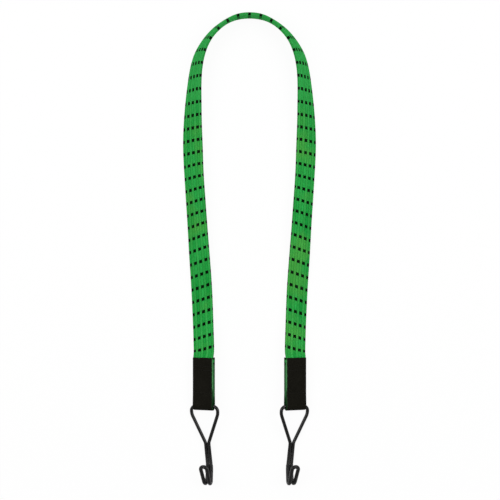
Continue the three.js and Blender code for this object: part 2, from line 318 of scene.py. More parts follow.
def fold_stations(at_fold, at_layers, back, front, squeeze):
    """A layer round the crossbar, from its back end to its front end.

    Its places, the directions across and through it, how thin it is squeezed and how full it is.
    """
    def leg(v, side):
        flared = smooth(v / FOLD_FLARE)
        offset = at_fold + (at_layers - at_fold) * flared
        through = np.tile(side * np.array(OUTWARD), (len(v), 1))
        return end_place(v, side * offset), through, squeeze + (1 - squeeze) * flared

    down = np.arange(back, FINE_STEP / 2, -FINE_STEP)
    up = np.append(np.arange(0, front - FINE_STEP / 2, FINE_STEP), front)
    angle = np.linspace(0, pi, round(pi * at_fold / FINE_STEP), endpoint=False)
    turned = -np.outer(np.sin(angle), ALONG) - np.outer(np.cos(angle), OUTWARD)
    below = np.outer(np.sin(angle), -FOLD_SLACK * ALONG)
    turn = (np.array(CROSSBAR) + at_fold * turned + below, turned, np.full(len(angle), squeeze))
    parts = [leg(down, -1), turn, leg(up, 1)]
    at, through, squeezed = (np.concatenate(x) for x in zip(*parts))
    return at, np.tile(np.array(ACROSS), (len(at), 1)), through, squeezed, np.zeros(len(at))


def route_stations():
    """The free strap from the top of the left tab to the middle of the arch."""
    tab_top = end_place(TAPE_LENGTH, LAYER_OFFSET)[0]
    tab_lift = tab_top[2] - rest_height(END_TILT)[0]
    approach = end_place(FOLD_FLARE, LAYER_OFFSET)[0]
    left = [(*approach[:2], END_TILT, tab_lift), (*tab_top[:2], END_TILT, tab_lift)]
    left += [(x, y, radians(twist), lift) for x, y, twist, lift in ROUTE]
    right = [(-x, y, twist, lift) for x, y, twist, lift in left[-2::-1]]
    points = np.array(left + right)
    knots = np.append(0, np.cumsum(np.linalg.norm(np.diff(points[:, :2], axis=0), axis=1)))
    middle = len(left) - 1
    wanted = np.linspace(knots[1], knots[middle], round((knots[middle] - knots[1]) / FINE_STEP))
    found = spline_through(knots, points, wanted)
    twist = np.minimum(found[:, 2], pi / 2)
    heading = np.gradient(found[:, :2], axis=0)
    heading[-1] = (1, 0)
    heading /= np.linalg.norm(heading, axis=1, keepdims=True)
    inner = np.stack([heading[:, 1], -heading[:, 0], np.zeros(len(twist))], axis=1)
    up = np.tile((0.0, 0.0, 1.0), (len(twist), 1))
    lying, standing = np.cos(twist)[:, None], np.sin(twist)[:, None]
    at = np.column_stack([found[:, :2], np.maximum(found[:, 3], 0) + rest_height(twist)])
    full = smooth((at[:, 1] - tab_top[1]) / FULL_AFTER)
    return at, inner * lying + up * standing, up * lying - inner * standing, np.ones(len(twist)), full


def evenly(stations, step):
    """The stations again, spread evenly along their own length, with the distance to the last one."""
    at = stations[0]
    run = np.append(0, np.cumsum(np.linalg.norm(np.diff(at, axis=0), axis=1)))
    wanted = np.linspace(0, run[-1], round(run[-1] / step) + 1)
    spread = []
    for values in stations:
        columns = values.reshape(len(run), -1).T
        spread.append(np.stack([np.interp(wanted, run, column) for column in columns], axis=1))
    return *spread, run[-1] - wanted


def left_half_stations():
    """The left half of the strap, from its cut end in the tab to the middle of the arch, a pick apart."""
    fold = fold_stations(FOLD_RADIUS, LAYER_OFFSET, BACK_LAYER, TAPE_LENGTH, FOLD_SQUEEZE)
    free = route_stations()
    return evenly([np.concatenate([a, b[1:]]) for a, b in zip(fold, free)], PICK)


def thinned(count, step):
    """The numbers of every so many stations, and of the last one."""
    return sorted({*range(0, count, step), count - 1})


def swept(at, across, through, squeeze, full, section_across, section_through):
    """Rings of points: each station carries the section, whose points may differ from ring to ring."""
    a = np.broadcast_to(section_across, (len(at), np.shape(section_across)[-1]))
    b = np.broadcast_to(section_through, a.shape)
    b = b * squeeze + np.sign(b) * full * fuller(a)
    return at[:, None] + across[:, None] * a[:, :, None] + through[:, None] * b[:, :, None]


def weave_places(section_across, along, section_through):
    """Where the points of the rings lie in the weave: across, along and through."""
    rings, around = len(along), len(section_across)
    return np.stack(
        [np.tile(section_across, rings), np.repeat(along, around), np.tile(section_through, rings)], axis=1
    )


def wall(first, rings, around, outward=True):
    """Quads of a tube of rings."""
    i, j = np.meshgrid(np.arange(rings - 1), np.arange(around), indexing="ij")
    a = first + i * around + j
    b = first + i * around + (j + 1) % around
    quads = [a, b, b + around, a + around] if outward else [b, a, a + around, b + around]
    return np.stack(quads, axis=-1).reshape(-1, 4).tolist()


def cut_end(outer, inner, outward):
    """Triangles between a ring of the outside and the ring of the cavity inside it."""
    faces = []
    for j in range(len(outer)):
        here, on = outer[j], outer[(j + 1) % len(outer)]
        below = inner[j // CAVITY_EVERY]
        faces.append((here, on, below) if outward else (on, here, below))
        if j % CAVITY_EVERY == CAVITY_EVERY - 1:
            beyond = inner[(j // CAVITY_EVERY + 1) % len(inner)]
            faces.append((on, beyond, below) if outward else (on, below, beyond))
    return faces


def soft_piece(name, points, faces, weave, mirror):
    """A mesh piece that faces outwards, with its place in the weave in millimetres on every point."""
    points = points * (-1, 1, 1) if mirror else points
    mesh = bpy.data.meshes.new(name)
    mesh.from_pydata(points.tolist(), [], faces)
    built = bmesh.new()
    built.from_mesh(mesh)
    if built.calc_volume(signed=True) < 0:
        bmesh.ops.reverse_faces(built, faces=built.faces[:])
    built.to_mesh(mesh)
    built.free()
    place = mesh.attributes.new("weave", "FLOAT_VECTOR", "POINT")
    place.data.foreach_set("vector", (weave * MILLIMETRES).astype(np.float32).ravel())
    mesh.polygons.foreach_set("use_smooth", [True] * len(mesh.polygons))
    piece = bpy.data.objects.new(name, mesh)
    bpy.context.collection.objects.link(piece)
    return piece


def sleeve_half(name, stations, mirror):
    """Half of the woven sleeve, hollow for its strands, open to them at its cut end."""
    *placed, to_middle = stations
    rings = len(to_middle)
    swell = np.where(np.arange(rings) % 2, 1, -1)[:, None]
    outer = swept(*placed, SLEEVE_ACROSS + swell * SWELL_ACROSS, SLEEVE_THROUGH + swell * SWELL_THROUGH)
    keep = thinned(rings, CAVITY_EVERY)
    cavity_across = np.clip(SLEEVE_ACROSS[::CAVITY_EVERY], -CAVITY_HALF_WIDTH, CAVITY_HALF_WIDTH)
    cavity_through = np.clip(SLEEVE_THROUGH[::CAVITY_EVERY], -VALLEY, VALLEY) * CAVITY_SHARE
    inner = swept(*(values[keep] for values in placed), cavity_across, cavity_through)
    around, within = len(SLEEVE_ACROSS), len(cavity_across)
    first = rings * around
    last = first + (len(keep) - 1) * within
    faces = wall(0, rings, around) + wall(first, len(keep), within, outward=False)
    faces += cut_end(np.arange(around), first + np.arange(within), outward=False)
    faces += cut_end(first - around + np.arange(around), last + np.arange(within), outward=True)
    points = np.concatenate([outer.reshape(-1, 3), inner.reshape(-1, 3)])
    weave = [
        weave_places(SLEEVE_ACROSS, to_middle, SLEEVE_THROUGH),
        weave_places(cavity_across, to_middle[keep], cavity_through),
    ]
    return soft_piece(name, points, faces, np.concatenate(weave), mirror)


def count_dot_rows(sleeve):
    """Each point's row of dots, counted from the middle of the arch."""
    weave = np.empty(3 * len(sleeve.data.vertices), dtype=np.float32)
    sleeve.data.attributes["weave"].data.foreach_get("vector", weave)
    across, along, _ = weave.reshape(-1, 3).T
    grown = smooth((along - LEAN_GROWS[0]) / (LEAN_GROWS[1] - LEAN_GROWS[0]))
    lean = (LEAN_HIGH + (LEAN_LOW - LEAN_HIGH) * grown) * smooth(along / NO_LEAN_IN_ARCH)
    level = along - lean * (LEAN_FROM_RIB - across)
    row = spline_through(np.array(DOT_ROWS_AT), np.array(DOT_ROWS, dtype=float)[:, None], level)
    counted = sleeve.data.attributes.new("dot_row", "FLOAT", "POINT")
    counted.data.foreach_set("value", row[:, 0].astype(np.float32))


def strands_half(name, stations, mirror):
    """The cut-rubber strands of half the strap, side by side."""
    keep = thinned(len(stations[0]), STRAND_EVERY)
    *placed, to_middle = (values[keep] for values in stations)
    w, h, c = STRAND_HALF_WIDTH, STRAND_HALF_HEIGHT, STRAND_CORNER
    corner = np.array([(w - c, h), (w, h - c), (w, c - h), (w - c, -h)])
    section = np.concatenate([corner, -corner])
    around = len(section)
    points, faces, weave = [], [], []
    for strand in range(STRANDS):
        first = strand * len(keep) * around
        last = first + (len(keep) - 1) * around
        section_across = section[:, 0] + (strand - (STRANDS - 1) / 2) * STRAND_PITCH
        points.append(swept(*placed, section_across, section[:, 1]).reshape(-1, 3))
        faces += wall(first, len(keep), around)
        faces += [tuple(range(first + around - 1, first - 1, -1)), tuple(range(last, last + around))]
        weave.append(weave_places(section_across, to_middle, section[:, 1]))
    return soft_piece(name, np.concatenate(points), faces, np.concatenate(weave), mirror)


stations = left_half_stations()
strap_left = sleeve_half("strap_left", stations, mirror=False)
strap_right = sleeve_half("strap_right", stations, mirror=True)
strands_left = strands_half("rubber_strands_left", stations, mirror=False)
strands_right = strands_half("rubber_strands_right", stations, mirror=True)

count_dot_rows(strap_left)
count_dot_rows(strap_right)

strand_nodes = [f"rubber_strand_{i + 1}" for i in range(STRANDS)]
for sleeve, strands, end, side in [
    (strap_left, strands_left, "left_end", 1),
    (strap_right, strands_right, "right_end", -1),
]:
    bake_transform(sleeve)
    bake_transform(strands)
    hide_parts("strap_sleeve")
    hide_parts(*strand_nodes)


# Tape of the tabs, sewn through both layers of the strap

def tape_drawn_in(v, w):
    """How deep the thread draws the tape in: along its rows of stitches, and hardly between them."""
    drawn = np.zeros(np.broadcast(v, w).shape)
    for row in STITCH_ROWS:
        across_row = np.exp(-((v - row) / PUCKER_WIDTH) ** 2) * (np.abs(w) < STITCH_SIDE + PUCKER_WIDTH)
        drawn = np.maximum(drawn, across_row)
    for side in (-STITCH_SIDE, STITCH_SIDE):
        along_side = np.exp(-((w - side) / PUCKER_WIDTH) ** 2) * (v > STITCH_ROWS[0]) * (v < STITCH_ROWS[-1])
        drawn = np.maximum(drawn, along_side)
    return PUCKER_DEPTH * drawn


def tab_tape(name):
    """Woven tape folded round the end of the strap."""
    fold = fold_stations(TAPE_AT_FOLD, TAPE_AT_LAYERS, TAPE_LENGTH, TAPE_LENGTH, 1)
    *placed, run = evenly(fold, TAPE_STEP)
    rings = len(run)
    v = (placed[0] - np.array(CROSSBAR)) @ np.array(ALONG)
    w = np.linspace(-TAPE_HALF_WIDTH, TAPE_HALF_WIDTH, TAPE_POINTS)
    edge = np.maximum(0, (np.abs(w) - TAPE_HALF_WIDTH + TAPE_EDGE) / TAPE_EDGE) ** 2
    half = TAPE_THICKNESS / 2 * (1 - TAPE_EDGE_THINNING * edge)
    drawn = tape_drawn_in(v[:, None], w[None, :])
    loop = np.where(np.arange(rings) % 2, TAPE_EDGE_LOOP, -TAPE_EDGE_LOOP)[:, None] * edge * np.sign(w)
    face = w + loop
    section_across = np.concatenate([face, face[:, ::-1]], axis=1)
    section_through = np.concatenate([half - drawn, (-half - drawn)[:, ::-1]], axis=1)
    points = swept(*placed, section_across, section_through)
    around = 2 * TAPE_POINTS
    faces = wall(0, rings, around)
    for first, outward in ((0, False), ((rings - 1) * around, True)):
        for j in range(TAPE_POINTS - 1):
            quad = (first + j, first + j + 1, first + around - 2 - j, first + around - 1 - j)
            faces.append(quad if outward else quad[::-1])
    weave = weave_places(np.concatenate([w, w[::-1]]), run, np.concatenate([half, -half[::-1]]))
    return soft_piece(name, points.reshape(-1, 3), faces, weave, mirror=False)


def mirrored_copy(piece, name):
    """The same piece for the other end, with its own mesh."""
    copy = bpy.data.objects.new(name, piece.data.copy())
    copy.data.name = name
    copy.data.transform(Matrix.Scale(-1, 4, Vector((1, 0, 0))))
    copy.data.flip_normals()
    bpy.context.collection.objects.link(copy)
    return copy


def select_only(*pieces):
    """These pieces are selected, and the first of them is active."""
    bpy.ops.object.select_all(action="DESELECT")
    for piece in pieces:
        piece.select_set(True)
    bpy.context.view_layer.objects.active = pieces[0]


def one_stitch():
    """A bow of thread whose ends sink into the tape: a small circle spun through a shallow arc."""
    arc = STITCH_LENGTH ** 2 / (8 * STITCH_RISE) + STITCH_RISE / 2
    half_turn = atan(STITCH_LENGTH / 2 / (arc - STITCH_RISE))
    bpy.ops.object.select_all(action="DESELECT")
    bpy.ops.mesh.primitive_circle_add(vertices=THREAD_SIDES, radius=THREAD_RADIUS, fill_type="NOTHING")
    stitch = bpy.context.object
    upright = Matrix.Translation((0, 0, arc)) @ Matrix.Rotation(pi / 2, 4, "Y")
    stitch.data.transform(Matrix.Rotation(-half_turn, 4, "Y") @ upright)
    bpy.ops.object.mode_set(mode="EDIT")
    bpy.ops.mesh.select_all(action="SELECT")
    bpy.ops.mesh.spin(steps=STITCH_STEPS, angle=2 * half_turn, center=(0, 0, 0), axis=(0, -1, 0))
    bpy.ops.mesh.select_non_manifold(extend=False)
    bpy.ops.mesh.edge_face_add()
    bpy.ops.mesh.select_all(action="SELECT")
    bpy.ops.mesh.normals_make_consistent(inside=False)
    bpy.ops.object.mode_set(mode="OBJECT")
    stitch.data.transform(Matrix.Translation((0, 0, STITCH_RISE + STITCH_LIFT - arc)))
    return stitch


def stitch_spots():
    """Stitches of a box with a second row near its top: across, along, and whether they run along."""
    first_row, last_row = STITCH_ROWS[0], STITCH_ROWS[-1]
    across_count = round(2 * STITCH_SIDE / STITCH_PITCH)
    along_count = round((last_row - first_row) / STITCH_PITCH)
    spots = []
    for row in STITCH_ROWS:
        for k in range(across_count):
            spots.append((STITCH_SIDE * (2 * (k + 0.5) / across_count - 1), row, False))
    for side in (-STITCH_SIDE, STITCH_SIDE):
        for k in range(along_count):
            spots.append((side, first_row + (last_row - first_row) * (k + 0.5) / along_count, True))
    return spots


def tab_stitches(name):
    """All stitches of a tab, on both faces of its tape."""
    stitch = one_stitch()
    copies = []
    for w, v, lengthwise in stitch_spots():
        for side in (1, -1):
            height = TAPE_AT_LAYERS + TAPE_THICKNESS / 2 - float(tape_drawn_in(np.array(v), np.array(w)))
            normal = OUTWARD * side
            run = ALONG if lengthwise else ACROSS
            turn = Matrix((run, normal.cross(run), normal)).transposed().to_4x4()
            middle = CROSSBAR + ACROSS * w + ALONG * v + normal * height
            copy = bpy.data.objects.new(name, stitch.data.copy())
            copy.data.transform(Matrix.Translation(middle) @ turn)
            bpy.context.collection.objects.link(copy)
            copies.append(copy)
    bpy.data.objects.remove(stitch)
    select_only(*copies)
    bpy.ops.object.join()
    sewn = bpy.context.object
    sewn.name = name
    bpy.ops.object.shade_smooth()
    return sewn


# Hooks

def hook_corners():
    """All corners of the wire from one butt end to the other, with their bend radius."""
    whole = HOOK_HALF + [(-w, *others) for w, *others in reversed(HOOK_HALF)]
    corners = []
    for w, d, n, radius, shift in whole:
        slope = SHOULDER_SLOPE if d <= SHOULDER_END else 0
        corners.append((Vector((w + shift, d - slope * w, n)), radius))
    return corners


def bend_of(corners, k):
    """Where the wire enters and leaves a corner, the middle of its arc, its sweep and the axis it spins on."""
    corner, radius = corners[k]
    back = (corners[k - 1][0] - corner).normalized()
    on = (corners[k + 1][0] - corner).normalized()
    half = back.angle(on) / 2
    setback = radius / tan(half)
    centre = corner + (back + on).normalized() * (radius / sin(half))
    return corner + back * setback, corner + on * setback, centre, pi - 2 * half, back.cross(on)


def push_wire(run):
    """The selected ring of the wire goes straight on by this run."""
    if run.length > SHORTEST_RUN:
        bpy.ops.mesh.extrude_region_move(TRANSFORM_OT_translate={"value": run})


def bent_wire(name, corners):
    """A circle pushed along straight runs and spun round bends, capped, and cut at the lip of the coating."""
    place = corners[0][0]
    bpy.ops.object.select_all(action="DESELECT")
    bpy.ops.mesh.primitive_circle_add(vertices=WIRE_SIDES, radius=WIRE_RADIUS, fill_type="NOTHING")
    hook = bpy.context.object
    hook.name = name
    hook.data.transform(Matrix.Translation(place) @ Matrix.Rotation(pi / 2, 4, "Y"))
    bpy.ops.object.mode_set(mode="EDIT")
    bpy.ops.mesh.select_all(action="SELECT")
    for k in range(1, len(corners) - 1):
        start, stop, centre, sweep, axis = bend_of(corners, k)
        push_wire(start - place)
        bpy.ops.mesh.spin(steps=max(2, round(sweep / BEND_STEP)), angle=sweep, center=centre, axis=axis)
        place = stop
    push_wire(corners[-1][0] - place)
    bpy.ops.mesh.select_all(action="SELECT")
    bpy.ops.mesh.remove_doubles(threshold=SHORTEST_RUN)
    bpy.ops.mesh.select_all(action="DESELECT")
    bpy.ops.mesh.select_non_manifold(extend=False)
    bpy.ops.mesh.fill_holes(sides=WIRE_SIDES)
    for depth in (0, DIP_LIP):
        bpy.ops.mesh.select_all(action="SELECT")
        bpy.ops.mesh.bisect(plane_co=DIP_EDGE + depth * DIP_INTO, plane_no=DIP_INTO)
    bpy.ops.object.mode_set(mode="OBJECT")
    return hook


def mark_wire(hook, corners):
    """Each point's share of the scuffed place and of the dipped coating, and a vertex group for the coating."""
    seat = bend_of(corners, SCUFFED_BEND)[2]
    bend_radius = corners[SCUFFED_BEND][1]
    scuffed, dipped = [], []
    for vertex in hook.data.vertices:
        from_seat = Vector((0, vertex.co.y - seat.y, vertex.co.z - seat.z))
        inside = smooth((bend_radius + SCUFF_PAST_ARC - from_seat.length) / WIRE_RADIUS)
        scuffed.append(float(inside * smooth((from_seat.y + SCUFF_BEFORE) / SCUFF_FADE)))
        dipped.append(float(smooth((vertex.co - DIP_EDGE).dot(DIP_INTO) / DIP_LIP)))
    for label, shares in (("scuffed", scuffed), ("dipped", dipped)):
        hook.data.attributes.new(label, "FLOAT", "POINT").data.foreach_set("value", shares)
    coating = hook.vertex_groups.new(name="coating")
    for index, share in enumerate(dipped):
        coating.add([index], share, "REPLACE")


def hook_wire(name):
    """The hook, swung out of its fold until its bend rests on the table, with its tip coated."""
    corners = hook_corners()
    hook = bent_wire(name, corners)
    mark_wire(hook, corners)
    down = -ALONG * cos(HOOK_SWING) - OUTWARD * sin(HOOK_SWING)
    out = OUTWARD * cos(HOOK_SWING) - ALONG * sin(HOOK_SWING)
    turn = Matrix((ACROSS, down, out)).transposed().to_4x4()
    hook.data.transform(Matrix.Translation(CROSSBAR) @ turn)
    select_only(hook)
    bpy.ops.object.mode_set(mode="EDIT")
    bpy.ops.mesh.select_all(action="SELECT")
    bpy.ops.mesh.normals_make_consistent(inside=False)
    bpy.ops.object.mode_set(mode="OBJECT")
    thicker = hook.modifiers.new("coating", "DISPLACE")
    thicker.vertex_group = "coating"
    thicker.mid_level = 0
    thicker.strength = DIP_THICKNESS
    bpy.ops.object.modifier_apply(modifier=thicker.name)
    bpy.ops.object.shade_smooth_by_angle(angle=SHARP_EDGE)
    return hook


tab_left = tab_tape("tab_left")
tab_right = mirrored_copy(tab_left, "tab_right")
stitches_left = tab_stitches("tab_stitches_left")
stitches_right = mirrored_copy(stitches_left, "tab_stitches_right")
hook_left = hook_wire("hook_left")
hook_right = mirrored_copy(hook_left, "hook_right")

for tape, stitches, hook, side in [
    (tab_left, stitches_left, hook_left, "left"),
    (tab_right, stitches_right, hook_right, "right"),
]:
    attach(tape, f"{side}_end")
    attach(stitches, f"{side}_end")
    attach(hook, f"{side}_hook")
    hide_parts(f"{side}_tab_tape")
    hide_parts(f"{side}_hook_wire")


# Materials

def connect(tree, value, socket):
    """A socket's value goes along a link, and a plain value sits on the socket itself."""
    if isinstance(value, bpy.types.NodeSocket):
        tree.links.new(value, socket)
    else:
        socket.default_value = value


def node(tree, kind, inputs=(), **settings):
    made = tree.nodes.new(kind)
    for key, value in settings.items():
        setattr(made, key, value)
    for key, value in dict(inputs).items():
        connect(tree, value, made.inputs[key])
    return made


def maths(tree, operation, *values):
    return node(tree, "ShaderNodeMath", enumerate(values), operation=operation).outputs[0]


def ramp(tree, value, low, high, to_low=0.0, to_high=1.0):
    """A value that goes smoothly from to_low to to_high between low and high."""
    inputs = {"Value": value, "From Min": low, "From Max": high, "To Min": to_low, "To Max": to_high}
    return node(tree, "ShaderNodeMapRange", inputs, interpolation_type="SMOOTHSTEP").outputs[0]


def blended(tree, share, first, second):
    return node(tree, "ShaderNodeMix", {0: share, 6: first, 7: second}, data_type="RGBA").outputs[2]


def tinted(tree, mask, strength, base, tint):
    """The base colour with a tint over it where the mask is, at this strength."""
    return blended(tree, maths(tree, "MULTIPLY", mask, strength), base, tint)


def combined(tree, x, y, z=0.0):
    return node(tree, "ShaderNodeCombineXYZ", {"X": x, "Y": y, "Z": z}).outputs[0]


def separated(tree, vector):
    return node(tree, "ShaderNodeSeparateXYZ", {0: vector}).outputs


def distance(tree, first, second):
    return maths(tree, "ABSOLUTE", maths(tree, "SUBTRACT", first, second))


def every_second(tree, rib):
    """Nought in the middle of one rib, one in the middle of the next."""
    return maths(tree, "PINGPONG", maths(tree, "ADD", rib, 1.0), 1.0)


def noise(tree, place, scale, detail=2.0):
    inputs = {"Vector": place, "Scale": scale, "Detail": detail}
    return node(tree, "ShaderNodeTexNoise", inputs).outputs[0]


def share_of(tree, name):
    """A share that the mesh holds for each of its points."""
    return node(tree, "ShaderNodeAttribute", attribute_name=name).outputs["Fac"]


def place_in_weave(tree):
    return node(tree, "ShaderNodeAttribute", attribute_name="weave").outputs["Vector"]


def place_on_object(tree):
    return node(tree, "ShaderNodeTexCoord").outputs["Object"]


def colour(red, green, blue):
    """A colour given as it looks on screen, for a colour socket."""
    def linear(c):
        c /= 255
        return c / 12.92 if c <= 0.04045 else ((c + 0.055) / 1.055) ** 2.4
    return (linear(red), linear(green), linear(blue), 1.0)


def new_group(name, inputs, outputs):
    """An empty node group, the sockets that feed it and the sockets that it feeds."""
    group = bpy.data.node_groups.new(name, "ShaderNodeTree")
    for label, kind, value in inputs:
        socket = group.interface.new_socket(label, in_out="INPUT", socket_type=kind)
        if value is not None:
            socket.default_value = value
    for label, kind in outputs:
        group.interface.new_socket(label, in_out="OUTPUT", socket_type=kind)
    return group, group.nodes.new("NodeGroupInput").outputs, group.nodes.new("NodeGroupOutput").inputs


def make_plain_weave():
    """Yarns that pass over and under each other, from a place in millimetres."""
    group, given, wanted = new_group(
        "plain weave",
        [
            ("Place", "NodeSocketVector", None),
            ("Warp Pitch", "NodeSocketFloat", 0.7),
            ("Weft Pitch", "NodeSocketFloat", 0.6),
        ],
        [("Height", "NodeSocketFloat"), ("Over", "NodeSocketFloat"), ("Fibre", "NodeSocketFloat")],
    )
    across, along, through = separated(group, given["Place"])
    warp = maths(group, "DIVIDE", across, given["Warp Pitch"])
    weft = maths(group, "DIVIDE", along, given["Weft Pitch"])
    cell = maths(group, "ADD", maths(group, "FLOOR", warp), maths(group, "FLOOR", weft))
    over = maths(group, "FLOORED_MODULO", cell, 2.0)
    warp_round = maths(group, "SINE", maths(group, "MULTIPLY", maths(group, "FRACT", warp), pi))
    weft_round = maths(group, "SINE", maths(group, "MULTIPLY", maths(group, "FRACT", weft), pi))
    warp_bow = maths(group, "MULTIPLY_ADD", weft_round, YARN_ROUND, WARP_HEIGHT)
    weft_bow = maths(group, "MULTIPLY_ADD", warp_round, YARN_ROUND, WEFT_HEIGHT)
    on_warp = maths(group, "MULTIPLY", warp_round, warp_bow)
    on_weft = maths(group, "MULTIPLY", weft_round, weft_bow)
    under = maths(group, "SUBTRACT", 1.0, over)
    height = maths(group, "MULTIPLY_ADD", on_weft, under, maths(group, "MULTIPLY", on_warp, over))
    fibres_across = maths(group, "MULTIPLY", warp, FIBRES_ACROSS_YARN)
    fibres_along = maths(group, "MULTIPLY", weft, FIBRES_ALONG_YARN)
    fibre = noise(group, combined(group, fibres_across, fibres_along, through), 1.0)
    for label, value in (("Height", height), ("Over", over), ("Fibre", fibre)):
        connect(group, value, wanted[label])
    return group


def make_handling_marks():
    """Patches of fine dust and rubbed surface that handling leaves."""
    group, given, wanted = new_group(
        "handling marks",
        [("Patch Scale", "NodeSocketFloat", 40.0), ("Speck Scale", "NodeSocketFloat", 900.0)],
        [("Dust", "NodeSocketFloat"), ("Patch", "NodeSocketFloat")],
    )
    place = place_on_object(group)
    patch = noise(group, place, given["Patch Scale"], 3.0)
    speck = noise(group, place, given["Speck Scale"], 2.0)
    dust = maths(group, "MULTIPLY", ramp(group, patch, 0.45, 0.75), ramp(group, speck, 0.52, 0.72))
    connect(group, dust, wanted["Dust"])
    connect(group, patch, wanted["Patch"])
    return group


plain_weave = make_plain_weave()
handling_marks = make_handling_marks()


def new_finish(name, **values):
    """A material whose shader has these plain values on its own sockets."""
    material = bpy.data.materials.new(name)
    material.use_nodes = True
    shader = material.node_tree.nodes["Principled BSDF"]
    for label, value in values.items():
        shader.inputs[label.replace("_", " ")].default_value = value
    return material, material.node_tree, shader


def placed_group(tree, group, **inputs):
    made = node(tree, "ShaderNodeGroup", node_tree=group)
    for label, value in inputs.items():
        connect(tree, value, made.inputs[label.replace("_", " ")])
    return made.outputs


def finished(tree, shader, base, roughness, height, depth, strength=1.0):
    """The shader gets its colour, its roughness and a relief of this depth."""
    connect(tree, base, shader.inputs["Base Color"])
    connect(tree, roughness, shader.inputs["Roughness"])
    bump = node(tree, "ShaderNodeBump", {"Height": height, "Distance": depth, "Strength": strength})
    connect(tree, bump.outputs[0], shader.inputs["Normal"])


def make_dots(tree, across, rib, rim_share, wobble):
    """Where black yarn comes to the face: rows of dots on every second rib and on the inner rim."""
    row = share_of(tree, "dot_row")
    off_row = distance(tree, row, maths(tree, "ROUND", row))
    off_row = maths(tree, "MULTIPLY_ADD", off_row, DOT_ROW_PITCH, wobble)

    def inside(place, width, blur, share=1.0):
        return ramp(tree, place, width / 2 - blur, width / 2 + blur, share, 0.0)

    in_column = inside(every_second(tree, rib), DOT_WIDTH_IN_RIBS, DOT_SIDE_BLUR_IN_RIBS)
    on_face = maths(tree, "MULTIPLY", inside(off_row, DOT_LENGTH, DOT_END_BLUR), in_column)
    in_rim = ramp(tree, across, RIM_DOTS_FROM - DOT_END_BLUR, RIM_DOTS_FROM + DOT_END_BLUR)
    on_rim = maths(tree, "MULTIPLY", inside(off_row, RIM_DOT_LENGTH, DOT_END_BLUR, rim_share), in_rim)
    return maths(tree, "MAXIMUM", on_face, on_rim)


def make_green_weave():
    material, tree, shader = new_finish("green woven strap", Specular_IOR_Level=0.03)
    weave = place_in_weave(tree)
    across, along, through = separated(tree, weave)
    rib_pitch = RIB_PITCH * MILLIMETRES
    yarns = placed_group(tree, plain_weave, Place=weave, Warp_Pitch=rib_pitch / YARNS_IN_RIB, Weft_Pitch=0.75)
    marks = placed_group(tree, handling_marks, Patch_Scale=31.0, Speck_Scale=1400.0)
    rib = maths(tree, "MULTIPLY_ADD", across, 1 / rib_pitch, 0.5)
    nearest_rib = maths(tree, "ROUND", rib)
    groove_shade = ramp(tree, distance(tree, rib, nearest_rib), 0.3, 0.5)
    rim = ramp(tree, maths(tree, "ABSOLUTE", across), *RIM_ACROSS)
    from_fold = distance(tree, along, FOLD_MIDDLE)
    in_tab = ramp(tree, from_fold, SEWN_LENGTH - SEWN_FADE, SEWN_LENGTH, 1.0, 0.0)

    # Dyed yarn: each rib has its own tone, yellowed in patches down the legs; painted light makes the green
    # brighter towards the arch, and painted shade darkens the grooves and the rims
    tone_across = maths(tree, "MULTIPLY", nearest_rib, TONE_STEP_TO_NEXT_RIB)
    tone_along = maths(tree, "MULTIPLY", along, TONE_ALONG_RIB)
    tone = ramp(tree, noise(tree, combined(tree, tone_across, tone_along), 1.0, 1.0), 0.3, 0.7)
    base = blended(tree, tone, colour(24, 146, 56), colour(46, 168, 74))
    # Painted light: a brighter green near the arch that fades out down the legs
    base = blended(tree, ramp(tree, along, *PAINTED_LIGHT_THEN_YELLOWED_ALONG, 0.32, 0.0), base, colour(66, 184, 94))
    base = tinted(tree, every_second(tree, nearest_rib), 0.25, base, colour(70, 168, 82))
    patches = ramp(tree, marks["Patch"], 0.46, 0.7, 0.0, 0.6)
    base = tinted(tree, patches, ramp(tree, along, *PAINTED_LIGHT_THEN_YELLOWED_ALONG), base, colour(82, 164, 62))
    # Painted shade darkens the grooves between the ribs
    base = tinted(tree, groove_shade, 0.6, base, colour(19, 112, 45))
    base = blended(tree, ramp(tree, yarns["Fibre"], 0.35, 0.75, 0.0, 0.3), base, colour(22, 126, 50))
    # Painted shade darkens the rims, which face away from the light
    base = tinted(tree, rim, 0.3, base, colour(30, 106, 46))

    # Paler, greyer rims in the tab, and painted shade between its layers and at the fold
    base = tinted(tree, rim, maths(tree, "MULTIPLY", in_tab, 0.6), base, colour(96, 146, 102))
    # Painted shade: the facing sides of the two layers' rims in the tab are darkened, and so is the strap round
    # the fold
    shade_between_layers = maths(tree, "MULTIPLY", in_tab, ramp(tree, through, -0.9, -0.1, 0.8, 0.0))
    at_fold = ramp(tree, from_fold, FOLD_SHADED - SHADE_FADE, FOLD_SHADED + SHADE_FADE, 0.85, 0.0)
    painted_shade = maths(tree, "MAXIMUM", maths(tree, "MULTIPLY", rim, shade_between_layers), at_fold)
    base = blended(tree, painted_shade, base, colour(13, 40, 18))

    # Black dots, with ends as uneven as the fibres, and dust over all
    wobble = maths(tree, "MULTIPLY", maths(tree, "SUBTRACT", yarns["Fibre"], 0.5), 0.9)
    rim_share = maths(tree, "MULTIPLY_ADD", in_tab, -RIM_DOTS_LOST_IN_TAB, 1.0)
    dots = make_dots(tree, across, rib, rim_share, wobble)
    base = blended(tree, dots, base, colour(2, 17, 3))
    base = tinted(tree, marks["Dust"], 0.06, base, colour(150, 195, 150))

    roughness = ramp(tree, yarns["Fibre"], 0.2, 0.8, 0.62, 0.85)
    height = maths(tree, "MULTIPLY_ADD", yarns["Fibre"], 0.35, yarns["Height"])
    height = maths(tree, "MULTIPLY_ADD", dots, 0.4, height)
    finished(tree, shader, base, roughness, height, depth=0.00012)
    return material


